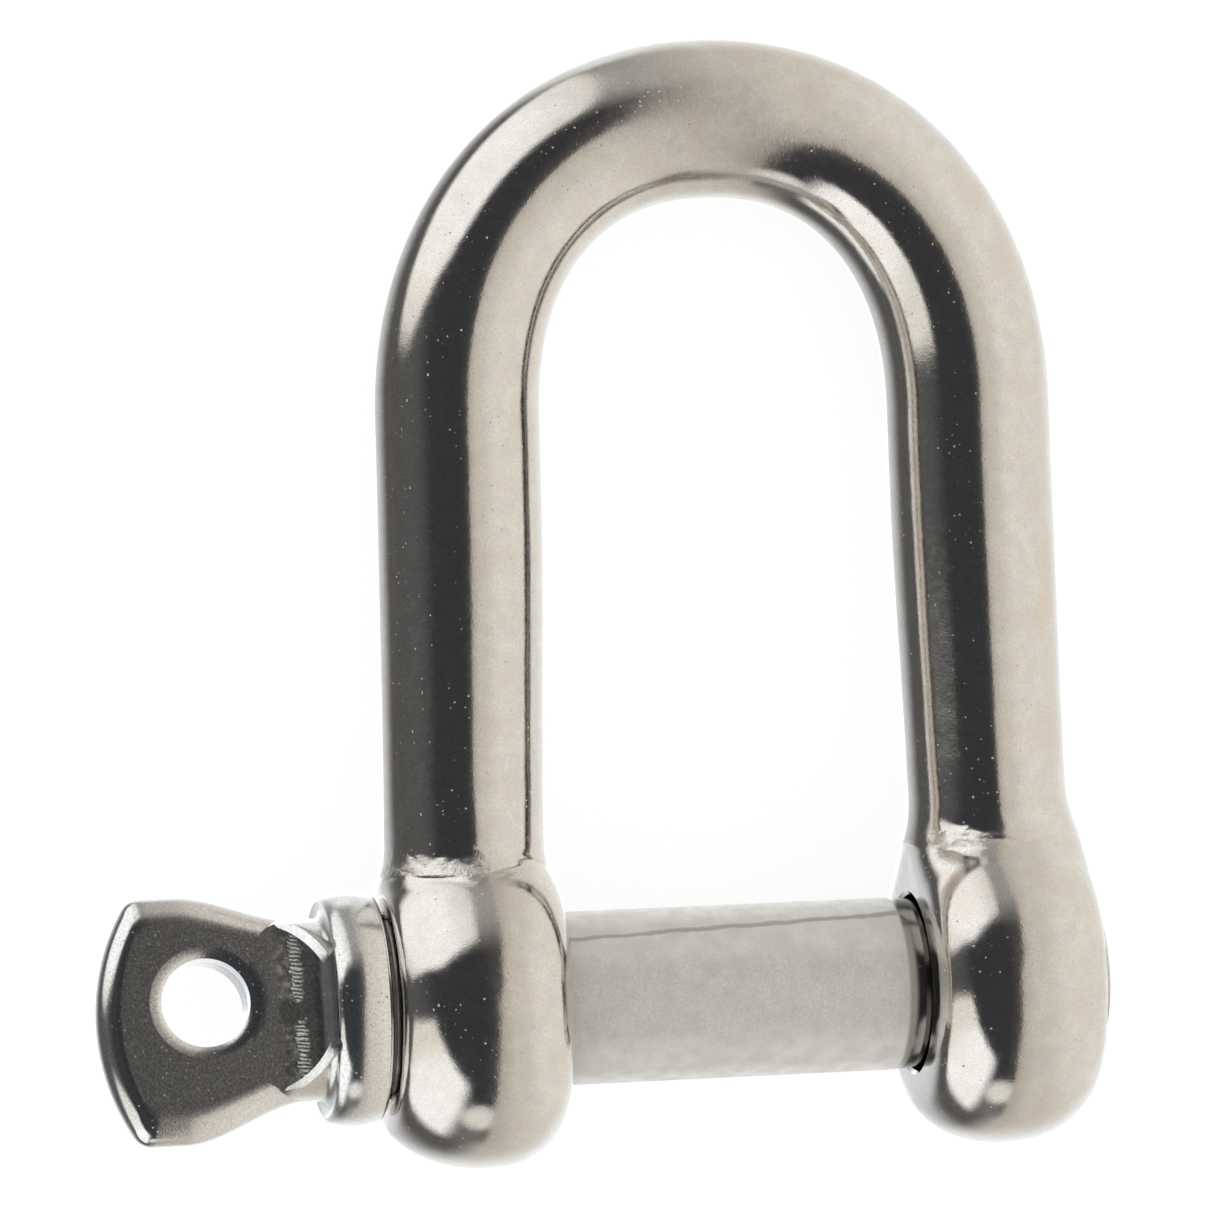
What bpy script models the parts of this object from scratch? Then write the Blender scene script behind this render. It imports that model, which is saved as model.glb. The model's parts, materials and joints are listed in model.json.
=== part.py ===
"""A screw-pin D shackle in polished stainless steel: one forged body and one screw pin with a flattened head.

The dee lies down as it comes to rest: the two round eyes and the crown of the bow touch the ground.
+X runs along the pin from its flattened head to the tapped eye, +Y runs towards the bow and +Z is up.
"""

import math

import bmesh
import bpy
import numpy as np
from mathutils import Vector

MM = 0.001

# Pin and bores
PIN_DIA = 10.0 * MM
THREAD_DIA = 9.8 * MM
THREAD_PROUD = 0.8 * MM
THREAD_INSET = 1.5 * MM
THREAD_CHAMFER = 0.6 * MM
BORE_CLEARANCE = 0.3 * MM
BORE_CHAMFER = 0.35 * MM

# Forged body
INSIDE_WIDTH = 21.2 * MM
INSIDE_LENGTH = 40.9 * MM
LEG_DIA = 9.6 * MM
NECK_BAR_DIA = 9.3 * MM
NECK_ABOVE_EYE = 2.0 * MM
BOW_BAR_DIA = 9.25 * MM
BOW_SPAN = 30.25 * MM
BOW_RISE = 17.1 * MM
BOW_FULLNESS = 2.18

# Eyes
EYE_DIA = 19.1 * MM
EYE_WIDTH = 10.1 * MM
EYE_SWELL = 0.4 * MM
EYE_EDGE_RADIUS = 4.45 * MM
EYE_BLEND = 1.8 * MM
EYE_FACE_DIA = 16.0 * MM
EYE_FACE_BLEND = 0.35 * MM

# Collar and head of the pin
COLLAR_GAP = 0.3 * MM
COLLAR_DIA = 13.5 * MM
COLLAR_WIDTH = 3.15 * MM
COLLAR_RIM_DIA = 12.4 * MM
COLLAR_EDGE_RADIUS = 0.35 * MM
COLLAR_DISH = 0.25 * MM
HEAD_NECK_DIA = 10.5 * MM
HEAD_NECK_LENGTH = 2.5 * MM
HEAD_NECK_FILLET = 0.4 * MM
HEAD_WAIST_FROM_COLLAR = 0.9 * MM
HEAD_WAIST_LENGTH = 6.0 * MM
HEAD_LENGTH = 13.05 * MM
HEAD_HEIGHT = 14.3 * MM
HEAD_THICKNESS = 3.85 * MM
HEAD_TIP_RADIUS = 12.7 * MM
HEAD_CORNER_RADIUS = 1.3 * MM
HEAD_EDGE_RADIUS = 1.0 * MM
HEAD_DROP = 0.3 * MM
HEAD_TURN = math.radians(12.0)
FLAT_STEP = 0.1 * MM
FLAT_END_RADIUS = 5.45 * MM
FLAT_END_SWEEP = math.radians(66.0)
FLAT_END_FROM_COLLAR = 0.15 * MM
HEAD_HOLE_DIA = 5.1 * MM
HEAD_HOLE_FROM_TIP = 6.25 * MM
HEAD_HOLE_OFFSET = 0.5 * MM

# Facets
BAR_SIDES = 40
PIN_SIDES = 48
HOLE_SIDES = 32
EYE_ROWS = 16
LEG_ROWS = 6
BOW_ROWS = 40
ARC_STEPS = 5
WAIST_STEPS = 10
EYE_FOOT_FLAT = 0.07 * MM
CREASE_ANGLE = math.radians(30.0)

# Places that follow from the sizes above, in the dee's own frame: X along the pin, Y to the bow, Z out of the dee
PIN_RADIUS = PIN_DIA / 2
BORE_RADIUS = PIN_RADIUS + BORE_CLEARANCE
EYE_RADIUS = EYE_DIA / 2
EYE_INNER_FACE = INSIDE_WIDTH / 2
EYE_OUTER_FACE = EYE_INNER_FACE + EYE_WIDTH
EYE_CENTRE = (EYE_INNER_FACE + EYE_OUTER_FACE) / 2
CROWN_Y = PIN_RADIUS + INSIDE_LENGTH + BOW_BAR_DIA / 2
BOW_SPRING_Y = CROWN_Y - BOW_RISE
NECK_Y = EYE_RADIUS + NECK_ABOVE_EYE
BLEND_TOP_Y = NECK_Y + EYE_BLEND
COLLAR_RIGHT = -(EYE_OUTER_FACE + COLLAR_GAP)
COLLAR_LEFT = COLLAR_RIGHT - COLLAR_WIDTH
HEAD_TIP = COLLAR_LEFT - HEAD_LENGTH
NECK_START = COLLAR_LEFT - HEAD_NECK_LENGTH
WAIST_START = COLLAR_LEFT - HEAD_WAIST_FROM_COLLAR
WAIST_END = WAIST_START - HEAD_WAIST_LENGTH
PIN_END = EYE_OUTER_FACE + THREAD_PROUD
THREAD_START = EYE_INNER_FACE + THREAD_INSET

# The dee tips down towards the bow until eyes and crown share one ground plane
REST_TILT = math.asin((EYE_RADIUS - BOW_BAR_DIA / 2) / CROWN_Y)


def ease(t):
    """Smooth step from 0 to 1 while t goes from 0 to 1."""
    t = min(max(t, 0.0), 1.0)
    return t * t * (3 - 2 * t)


def clear_scene():
    for old in list(bpy.data.objects):
        bpy.data.objects.remove(old, do_unlink=True)


def steel(name, colour, roughness):
    material = bpy.data.materials.new(name)
    material.use_nodes = True
    shader = material.node_tree.nodes["Principled BSDF"]
    shader.inputs["Base Color"].default_value = (*colour, 1.0)
    shader.inputs["Metallic"].default_value = 1.0
    shader.inputs["Roughness"].default_value = roughness
    return material


def mark_creases(mesh):
    mesh.shade_smooth()
    mesh.set_sharp_from_angle(angle=CREASE_ANGLE)


def new_object(name, bm, parent=None):
    """Turn a bmesh into a smooth-shaded object."""
    bmesh.ops.recalc_face_normals(bm, faces=bm.faces)
    mesh = bpy.data.meshes.new(name)
    bm.to_mesh(mesh)
    bm.free()
    mark_creases(mesh)
    thing = bpy.data.objects.new(name, mesh)
    bpy.context.scene.collection.objects.link(thing)
    thing.parent = parent
    return thing


def loft(rings):
    """Skin a stack of rings with equal numbers of points and close both ends."""
    bm = bmesh.new()
    loops = [[bm.verts.new(point) for point in ring] for ring in rings]
    for lower, upper in zip(loops, loops[1:]):
        count = len(lower)
        for i in range(count):
            j = (i + 1) % count
            bm.faces.new((lower[i], lower[j], upper[j], upper[i]))
    bm.faces.new(loops[0])
    bm.faces.new(loops[-1])
    return bm


def revolve(profile, sides):
    """Turn (x, radius) points about X."""
    turn = [2 * math.pi * i / sides for i in range(sides)]
    return loft([[(x, r * math.cos(a), r * math.sin(a)) for a in turn] for x, r in profile])


def shape_with(target, tool, operation):
    """Add a tool to a piece or cut it away."""
    modifier = target.modifiers.new(tool.name, "BOOLEAN")
    modifier.operation = operation
    modifier.object = tool
    modifier.solver = "EXACT"


def settle(piece):
    """Keep what the tools have shaped as the piece's own mesh, mark its creases and put the tools away."""
    tools = [modifier.object for modifier in piece.modifiers]
    shaped = piece.evaluated_get(bpy.context.evaluated_depsgraph_get())
    mesh = bpy.data.meshes.new_from_object(shaped)
    piece.modifiers.clear()
    piece.data = mesh
    mark_creases(mesh)
    for tool in tools:
        bpy.data.objects.remove(tool, do_unlink=True)


# The forged body

def leg_offset(y):
    """Distance of the leg's centreline from the middle of the dee, at height y above the pin."""
    spread = 1 - ease(y / BOW_SPRING_Y)
    return BOW_SPAN / 2 + (EYE_CENTRE - BOW_SPAN / 2) * spread


def leg_radius(y):
    """The bar is fullest half way up the leg and draws in a little above the eye."""
    neck, full = NECK_BAR_DIA / 2, LEG_DIA / 2
    return neck + (full - neck) * ease((y - NECK_Y) / (BOW_SPRING_Y / 2))


def bow_point(turn):
    """Centreline of the bow, a full curve between the two legs; turn runs from 0 at +X to pi at -X."""
    power = 2 / BOW_FULLNESS
    c, s = math.cos(turn), math.sin(turn)
    x = BOW_SPAN / 2 * math.copysign(abs(c) ** power, c)
    return Vector((x, BOW_SPRING_Y + BOW_RISE * s ** power, 0.0))


def bow_radius(turn):
    """Bending has drawn the bar a little thinner round the bow than in the legs."""
    return (LEG_DIA + (BOW_BAR_DIA - LEG_DIA) * ease(math.sin(turn))) / 2


def eye_distance(x, y, z):
    """Signed distance to the eye, a thick disc with full round edges; x is measured from its middle."""
    across = np.abs(x) - (EYE_WIDTH / 2 + EYE_SWELL - EYE_EDGE_RADIUS)
    outward = np.hypot(y, z) - (EYE_RADIUS - EYE_EDGE_RADIUS)
    outside = np.hypot(np.maximum(across, 0), np.maximum(outward, 0))
    return outside + np.minimum(np.maximum(across, outward), 0) - EYE_EDGE_RADIUS


def blend(a, b, width):
    """Smaller of two distances, run into each other over the given width."""
    near = np.maximum(width - np.abs(a - b), 0) / width
    return np.minimum(a, b) - near ** 2 * width / 4


def forged_distance(x, y, z, centre, radius):
    """The eye and the end of the leg run into each other, with both sides of the eye dressed flat."""
    from_eye = x + centre - EYE_CENTRE
    leg = np.sqrt(x ** 2 + z ** 2 + min(y, 0.0) ** 2) - radius
    forging = blend(eye_distance(from_eye, y, z), leg, EYE_BLEND)
    dressed = np.maximum(np.hypot(y, z) - EYE_FACE_DIA / 2, EYE_WIDTH / 2 - np.abs(from_eye))
    return -blend(-forging, dressed, EYE_FACE_BLEND)


def eye_ring(y):
    """Level section through eye and leg at height y, found along rays from the leg's centreline."""
    turn = np.arange(BAR_SIDES) * 2 * math.pi / BAR_SIDES
    c, s = np.cos(turn), np.sin(turn)
    centre, radius = (leg_offset(y), leg_radius(y)) if y > 0 else (EYE_CENTRE, leg_radius(0))
    inner = np.zeros(BAR_SIDES)
    outer = np.full(BAR_SIDES, 2 * EYE_RADIUS)
    for _ in range(40):
        middle = (inner + outer) / 2
        inside = forged_distance(middle * c, y, middle * s, centre, radius) < 0
        inner = np.where(inside, middle, inner)
        outer = np.where(inside, outer, middle)
    return [Vector((centre + r * a, y, r * b)) for r, a, b in zip(inner, c, s)]


def bar_ring(centre, along, radius):
    """Round section of the bar, square to its centreline, counted from the outside of the dee."""
    side = Vector((along.y, -along.x, 0.0)).normalized()
    ring = []
    for i in range(BAR_SIDES):
        a = 2 * math.pi * i / BAR_SIDES
        ring.append(centre + side * (radius * math.cos(a)) + Vector((0, 0, radius * math.sin(a))))
    return ring


def right_leg_rings():
    """Rings from the foot of the tapped eye up to the spring of the bow."""
    rings = []
    lowest = EYE_FOOT_FLAT - EYE_RADIUS
    for i in range(EYE_ROWS):
        t = i / EYE_ROWS
        rings.append(eye_ring(lowest * math.cos(t * math.pi / 2)))
    for i in range(EYE_ROWS):
        rings.append(eye_ring(BLEND_TOP_Y * i / EYE_ROWS))
    for i in range(LEG_ROWS):
        y = BLEND_TOP_Y + (BOW_SPRING_Y - BLEND_TOP_Y) * i / LEG_ROWS
        step = 0.01 * MM
        along = Vector((leg_offset(y + step) - leg_offset(y - step), 2 * step, 0))
        rings.append(bar_ring(Vector((leg_offset(y), y, 0)), along, leg_radius(y)))
    return rings


def bow_rings():
    rings = []
    for i in range(BOW_ROWS + 1):
        turn = math.pi * i / BOW_ROWS
        step = min(0.001, turn / 2 + 1e-4, (math.pi - turn) / 2 + 1e-4)
        if i == 0:
            along = Vector((0, 1, 0))
        elif i == BOW_ROWS:
            along = Vector((0, -1, 0))
        else:
            along = bow_point(turn + step) - bow_point(turn - step)
        rings.append(bar_ring(bow_point(turn), along, bow_radius(turn)))
    return rings


def mirrored(rings):
    """The same rings on the other side of the dee, from the bow down, in the same turning sense."""
    return [[Vector((-p.x, p.y, p.z)) for p in ring] for ring in reversed(rings)]


def bore_cutter(parent):
    """One tool for both eyes: the bore and its chamfered mouths."""
    mouth = BORE_RADIUS + 2 * BORE_CHAMFER
    beyond = EYE_OUTER_FACE + EYE_WIDTH
    half = [
        (EYE_INNER_FACE - BORE_CHAMFER, mouth),
        (EYE_INNER_FACE + BORE_CHAMFER, BORE_RADIUS),
        (EYE_OUTER_FACE - BORE_CHAMFER, BORE_RADIUS),
        (EYE_OUTER_FACE + BORE_CHAMFER, mouth),
        (beyond, mouth),
    ]
    profile = [(-x, r) for x, r in reversed(half)] + half
    return new_object("bore_cutter", revolve(profile, PIN_SIDES), parent)


def build_body(parent):
    legs = right_leg_rings()
    body = new_object("shackle_body", loft(legs + bow_rings() + mirrored(legs)), parent)
    shape_with(body, bore_cutter(parent), "DIFFERENCE")
    settle(body)
    body.data.materials.append(steel("polished_steel", (0.66, 0.63, 0.59), 0.12))
    return body


# The screw pin

def arc(centre, radius, start, end, count):
    """Points on an arc in the profile plane, angles in radians."""
    cx, cy = centre
    angles = [start + (end - start) * i / count for i in range(count + 1)]
    return [(cx + radius * math.cos(a), cy + radius * math.sin(a)) for a in angles]


def head_outline():
    """Head seen on its flats: tip arc, corners, full height, waist and a root inside the collar."""
    top = HEAD_HEIGHT / 2
    tip_centre = HEAD_TIP + HEAD_TIP_RADIUS
    corner_y = top - HEAD_CORNER_RADIUS
    corner_x = tip_centre - math.sqrt((HEAD_TIP_RADIUS - HEAD_CORNER_RADIUS) ** 2 - corner_y ** 2)
    lean = math.pi - math.atan2(corner_y, tip_centre - corner_x)
    upper = arc((tip_centre, 0), HEAD_TIP_RADIUS, math.pi, lean, ARC_STEPS)[1:]
    upper += arc((corner_x, corner_y), HEAD_CORNER_RADIUS, lean, math.pi / 2, ARC_STEPS)[1:]
    root = HEAD_NECK_DIA / 2 - FLAT_STEP
    for i in range(WAIST_STEPS + 1):
        t = i / WAIST_STEPS
        upper.append((WAIST_END + HEAD_WAIST_LENGTH * t, root + (top - root) * ease(1 - t)))
    upper.append((COLLAR_LEFT + COLLAR_WIDTH / 2, root))
    return upper + [(x, -y) for x, y in reversed(upper)] + [(HEAD_TIP, 0)]


def inset(outline, depth):
    """The outline drawn in evenly by depth; it runs clockwise."""
    points = np.array(outline)
    along = np.roll(points, -1, axis=0) - np.roll(points, 1, axis=0)
    inward = np.stack((along[:, 1], -along[:, 0]), axis=1) / np.hypot(along[:, 0], along[:, 1])[:, None]
    return points + inward * depth


def head_blade(parent):
    """The flattened head, a plate with round edges all the way about."""
    outline = head_outline()
    half = HEAD_THICKNESS / 2 - HEAD_EDGE_RADIUS
    layers = []
    for i in range(-ARC_STEPS, ARC_STEPS + 1):
        if i == 0:
            continue
        a = math.pi / 2 * (abs(i) - 1) / (ARC_STEPS - 1)
        z = math.copysign(half + HEAD_EDGE_RADIUS * math.sin(a), i)
        rim = inset(outline, HEAD_EDGE_RADIUS * (1 - math.cos(a)))
        layers.append([(x, y - HEAD_DROP, z) for x, y in rim])
    return new_object("head_blade", loft(layers), parent)


def collar_profile():
    """Dished left face with a raised rim, a crowned edge and a flat seat towards the eye."""
    neck, rim, full = HEAD_NECK_DIA / 2, COLLAR_RIM_DIA / 2, COLLAR_DIA / 2
    dish_x = COLLAR_LEFT + COLLAR_DISH
    points = [(dish_x - HEAD_NECK_FILLET, neck), (dish_x, neck + COLLAR_DISH), (COLLAR_LEFT, rim)]
    crown_x = COLLAR_LEFT + COLLAR_WIDTH * 0.5
    for i in range(1, 6):
        a = math.pi / 2 * i / 5
        points.append((crown_x + (COLLAR_LEFT - crown_x) * math.cos(a), rim + (full - rim) * math.sin(a)))
    shoulder_x = COLLAR_RIGHT - COLLAR_EDGE_RADIUS
    shoulder = full - COLLAR_EDGE_RADIUS / 2
    for i in range(1, 4):
        t = i / 3
        points.append((crown_x + (shoulder_x - crown_x) * t, full + (shoulder - full) * t ** 2))
    edge_centre = (shoulder_x, shoulder - COLLAR_EDGE_RADIUS)
    points += arc(edge_centre, COLLAR_EDGE_RADIUS, math.pi / 2, 0, 3)[1:]
    return points


def pin_profile():
    """Neck inside the head, collar, plain shank, reduced thread and chamfered end."""
    thread = THREAD_DIA / 2
    shank = [
        (COLLAR_RIGHT, PIN_RADIUS),
        (THREAD_START, PIN_RADIUS),
        (THREAD_START + PIN_RADIUS - thread, thread),
        (PIN_END - THREAD_CHAMFER, thread),
        (PIN_END, thread - THREAD_CHAMFER),
    ]
    return [(NECK_START, HEAD_NECK_DIA / 2)] + collar_profile() + shank


def flat_cutter(name, side, parent):
    """Tool that flattens one side of the neck, with a round end towards the collar."""
    centre_x = COLLAR_LEFT + FLAT_END_FROM_COLLAR - FLAT_END_RADIUS
    plan = arc((centre_x, 0), FLAT_END_RADIUS, -FLAT_END_SWEEP, FLAT_END_SWEEP, PIN_SIDES // 2)
    end_x, end_y = plan[-1]
    flare_x = end_x - (HEAD_HEIGHT - end_y)
    plan += [(flare_x, HEAD_HEIGHT), (flare_x, -HEAD_HEIGHT)]
    near = side * (HEAD_THICKNESS / 2 + FLAT_STEP)
    far = side * (HEAD_NECK_DIA / 2 + COLLAR_DISH)
    return new_object(name, loft([[(x, y, z) for x, y in plan] for z in (near, far)]), parent)


def hole_cutter(parent):
    """Drill for the hole in the head, across its flats."""
    centre = (HEAD_TIP + HEAD_HOLE_FROM_TIP, HEAD_HOLE_OFFSET)
    circle = arc(centre, HEAD_HOLE_DIA / 2, 0, 2 * math.pi, HOLE_SIDES)[:-1]
    rings = [[(x, y, z) for x, y in circle] for z in (-HEAD_THICKNESS, HEAD_THICKNESS)]
    return new_object("hole_cutter", loft(rings), parent)


def build_pin(parent):
    pin = new_object("screw_pin", revolve(pin_profile(), PIN_SIDES), parent)
    pin.rotation_euler = (-HEAD_TURN, 0, 0)
    shape_with(pin, flat_cutter("flat_cutter_front", 1, pin), "DIFFERENCE")
    shape_with(pin, flat_cutter("flat_cutter_back", -1, pin), "DIFFERENCE")
    shape_with(pin, head_blade(pin), "UNION")
    shape_with(pin, hole_cutter(pin), "DIFFERENCE")
    settle(pin)
    pin.data.materials.append(steel("satin_steel", (0.6, 0.59, 0.56), 0.3))
    return pin


def dee_frame():
    """Empty that carries the whole shackle: its X is the pin's axis, and it tips the dee down to its ground plane."""
    frame = bpy.data.objects.new("dee_frame", None)
    bpy.context.scene.collection.objects.link(frame)
    depth = EYE_RADIUS + CROWN_Y * math.cos(REST_TILT) + BOW_BAR_DIA / 2
    frame.location = (-(HEAD_TIP + PIN_END) / 2, EYE_RADIUS - depth / 2, EYE_RADIUS)
    frame.rotation_euler = (-REST_TILT, 0, 0)
    return frame


def main():
    clear_scene()
    frame = dee_frame()
    build_body(frame)
    build_pin(frame)


main()
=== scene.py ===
# %% [markdown]
# # A chain joining shackle in polished stainless steel
# A screw-pin dee shackle is two pieces of metal: a forged body with two eyes, and a pin that is forged at one end
# and turned at the other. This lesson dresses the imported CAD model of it: it models both pieces finely enough for a
# mirror polish, gives them their finishes, and lights them as a product photographer would.

# %% Load the fixed frame
import json
import math

import bpy
import numpy as np
from mathutils import Matrix, Vector

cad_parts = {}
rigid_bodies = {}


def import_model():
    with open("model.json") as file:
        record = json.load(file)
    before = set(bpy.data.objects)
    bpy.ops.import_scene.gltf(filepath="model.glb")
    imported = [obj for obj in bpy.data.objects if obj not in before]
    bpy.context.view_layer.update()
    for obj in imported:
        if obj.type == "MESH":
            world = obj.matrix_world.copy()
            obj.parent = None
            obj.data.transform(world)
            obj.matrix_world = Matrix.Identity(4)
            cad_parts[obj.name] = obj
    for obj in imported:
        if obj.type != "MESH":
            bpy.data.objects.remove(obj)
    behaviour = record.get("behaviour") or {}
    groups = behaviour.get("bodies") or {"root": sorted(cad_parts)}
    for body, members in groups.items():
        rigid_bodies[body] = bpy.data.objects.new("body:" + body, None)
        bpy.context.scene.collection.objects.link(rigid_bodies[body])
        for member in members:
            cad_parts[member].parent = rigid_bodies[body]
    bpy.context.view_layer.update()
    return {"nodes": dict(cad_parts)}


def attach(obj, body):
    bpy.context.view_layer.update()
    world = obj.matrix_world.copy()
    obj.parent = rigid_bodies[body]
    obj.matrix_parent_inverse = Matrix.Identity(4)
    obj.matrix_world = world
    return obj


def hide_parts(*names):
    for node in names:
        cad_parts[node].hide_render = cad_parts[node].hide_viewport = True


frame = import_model()
print("CAD nodes:", sorted(frame["nodes"]))
MM = 0.001

# %% [markdown]
# ## Where the shackle lies
# The dee rests on its two round eyes and on the crown of its bow. The eyes are fatter than the bar, so it is tipped
# by a few degrees. It is far easier to model it square, with X along the pin, Y to the bow and Z out of the dee, and
# to lay the finished pieces down afterwards, so all sizes below are in that frame of the dee.

# %% Sizes shared by both pieces and the place of the dee
INSIDE_WIDTH = 21.2 * MM
INSIDE_LENGTH = 40.9 * MM
PIN_RADIUS = 5.0 * MM
EYE_RADIUS = 9.55 * MM
EYE_WIDTH = 10.1 * MM
BOW_BAR_RADIUS = 4.625 * MM
EYE_INNER_FACE = INSIDE_WIDTH / 2
EYE_OUTER_FACE = EYE_INNER_FACE + EYE_WIDTH
EYE_CENTRE = (EYE_INNER_FACE + EYE_OUTER_FACE) / 2
CROWN_Y = PIN_RADIUS + INSIDE_LENGTH + BOW_BAR_RADIUS
COLLAR_RIGHT = -(EYE_OUTER_FACE + 0.3 * MM)
COLLAR_LEFT = COLLAR_RIGHT - 3.15 * MM
HEAD_TIP = COLLAR_LEFT - 13.05 * MM
PIN_END = EYE_OUTER_FACE + 0.8 * MM
REST_TILT = math.asin((EYE_RADIUS - BOW_BAR_RADIUS) / CROWN_Y)
DEPTH = EYE_RADIUS + CROWN_Y * math.cos(REST_TILT) + BOW_BAR_RADIUS
DEE_AT = Vector((-(HEAD_TIP + PIN_END) / 2, EYE_RADIUS - DEPTH / 2, EYE_RADIUS))
DEE_PLACE = Matrix.Translation(DEE_AT) @ Matrix.Rotation(-REST_TILT, 4, "X")
print("the dee tips down by", round(math.degrees(REST_TILT), 2), "degrees")


# %% Helpers for working by hand
def put_down():
    """Leave edit mode and let go of everything, so that the next operator acts on its own piece only."""
    if bpy.context.object and bpy.context.object.mode != "OBJECT":
        bpy.ops.object.mode_set(mode="OBJECT")
    bpy.ops.object.select_all(action="DESELECT")


def pick_up(piece):
    put_down()
    piece.select_set(True)
    bpy.context.view_layer.objects.active = piece


def named(name):
    piece = bpy.context.object
    piece.name = name
    piece.data.name = name
    bpy.ops.object.transform_apply(location=True, rotation=True, scale=True)
    return piece


def select_faces(piece, test):
    """Enter edit mode with only the faces selected that pass the test."""
    pick_up(piece)
    bpy.ops.object.mode_set(mode="EDIT")
    bpy.ops.mesh.select_mode(type="FACE")
    bpy.ops.mesh.select_all(action="DESELECT")
    bpy.ops.object.mode_set(mode="OBJECT")
    for face in piece.data.polygons:
        face.select = test(face)
    bpy.ops.object.mode_set(mode="EDIT")


def shape_with(piece, tool, operation):
    """Weld a tool to a piece or cut it away, and put the tool away."""
    pick_up(piece)
    modifier = piece.modifiers.new(tool.name, "BOOLEAN")
    modifier.operation = operation
    modifier.object = tool
    modifier.solver = "EXACT"
    bpy.ops.object.modifier_apply(modifier=modifier.name)
    bpy.data.objects.remove(tool, do_unlink=True)


def smooth(piece, degrees):
    """Smooth shading up to an angle; large flat faces keep their own normal, so that their mirror stays flat."""
    pick_up(piece)
    bpy.ops.object.shade_smooth_by_angle(angle=math.radians(degrees), keep_sharp_edges=True)
    modifier = piece.modifiers.new("flat faces stay flat", "WEIGHTED_NORMAL")
    modifier.keep_sharp = True
    bpy.ops.object.modifier_apply(modifier=modifier.name)


def lay_down(piece):
    """Turn a finished piece from the frame of the dee to where the shackle lies."""
    pick_up(piece)
    piece.matrix_world = DEE_PLACE
    bpy.ops.object.transform_apply(location=True, rotation=True, scale=True)
    triangles = sum(len(face.vertices) - 2 for face in piece.data.polygons)
    print(piece.name, "has", triangles, "triangles")


def ease(t):
    """Smooth step from 0 to 1 while t goes from 0 to 1."""
    t = min(max(t, 0.0), 1.0)
    return t * t * (3 - 2 * t)


# %% [markdown]
# ## The camera
# The photograph looks straight down into the dee from well above, a little from the left, through a long lens, so
# hardly anything converges. The camera is placed by four numbers: how far it stands round the dee, how far above its
# middle plane, how it rolls, and its distance.

# %% Place the camera
CAMERA_TARGET = Vector((-6.77, 22.575, 0)) * MM
CAMERA_DISTANCE = 420 * MM
CAMERA_ROUND = math.radians(11.5)
CAMERA_LIFT = math.radians(0.718)
CAMERA_ROLL = math.radians(1.892)


def camera_place():
    turn, lift = CAMERA_ROUND, CAMERA_LIFT
    back = Vector((-math.sin(turn) * math.cos(lift), math.sin(lift), math.cos(turn) * math.cos(lift)))
    right = Vector((math.cos(turn), 0, math.sin(turn)))
    up = back.cross(right)
    across = right * math.cos(CAMERA_ROLL) - up * math.sin(CAMERA_ROLL)
    upward = right * math.sin(CAMERA_ROLL) + up * math.cos(CAMERA_ROLL)
    at = CAMERA_TARGET + back * CAMERA_DISTANCE
    columns = Matrix((across, upward, back)).transposed().to_4x4()
    return DEE_PLACE @ Matrix.Translation(at) @ columns


put_down()
bpy.ops.object.camera_add()
camera = bpy.context.object
camera.name = "camera"
camera.data.lens = 216.25
camera.data.sensor_width = 36
camera.data.clip_start = 0.01
camera.data.clip_end = 20
camera.matrix_world = camera_place()
bpy.context.scene.camera = camera
print("camera at", [round(c / MM, 1) for c in camera.location], "mm")

# %% [markdown]
# ## The forged skin
# By hand, an eye would be spun, the bar drawn along the dee, and the two welded with a Boolean, but that leaves a
# hard line where the real forging flows, and a mirror polish shows every fault in a surface. So a grid is wrapped
# round the forging instead: its columns run along the bar, its rows go from the foot of one eye, up the leg, round
# the bow and down to the foot of the other. Every row is pressed to the outline of the smooth union of an eye, a
# thick disc with full round edges, and the bar that grows out of it.

# %% The line and thickness of the bar
LEG_RADIUS = 4.8 * MM
NECK_RADIUS = 4.65 * MM
NECK_Y = EYE_RADIUS + 2.0 * MM
BOW_SPAN = 30.25 * MM
BOW_RISE = 17.1 * MM
BOW_FULLNESS = 2.18
BOW_SPRING_Y = CROWN_Y - BOW_RISE


def leg_offset(y):
    """Distance of the leg's middle line from the middle of the dee, at height y above the pin."""
    spread = 1 - ease(y / BOW_SPRING_Y)
    return BOW_SPAN / 2 + (EYE_CENTRE - BOW_SPAN / 2) * spread


def leg_radius(y):
    return NECK_RADIUS + (LEG_RADIUS - NECK_RADIUS) * ease((y - NECK_Y) / (BOW_SPRING_Y / 2))


def bow_point(turn):
    power = 2 / BOW_FULLNESS
    c, s = math.cos(turn), math.sin(turn)
    return Vector((BOW_SPAN / 2 * math.copysign(abs(c) ** power, c), BOW_SPRING_Y + BOW_RISE * s ** power, 0))


def bow_radius(turn):
    return LEG_RADIUS + (BOW_BAR_RADIUS - LEG_RADIUS) * ease(math.sin(turn))


# %% The eye, and how it runs into the bar
EYE_EDGE = 4.45 * MM
EYE_SWELL = 0.4 * MM
EYE_FULLNESS = 2.2
EYE_FACE_RADIUS = 8.0 * MM
EYE_FACE_BLEND = 0.35 * MM
SEAM_WIDTH = 0.15 * MM
BLEND_TOP_Y = NECK_Y + 1.8 * MM
BAR_SIDES = 96
TURN = np.arange(BAR_SIDES) * 2 * math.pi / BAR_SIDES

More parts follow.
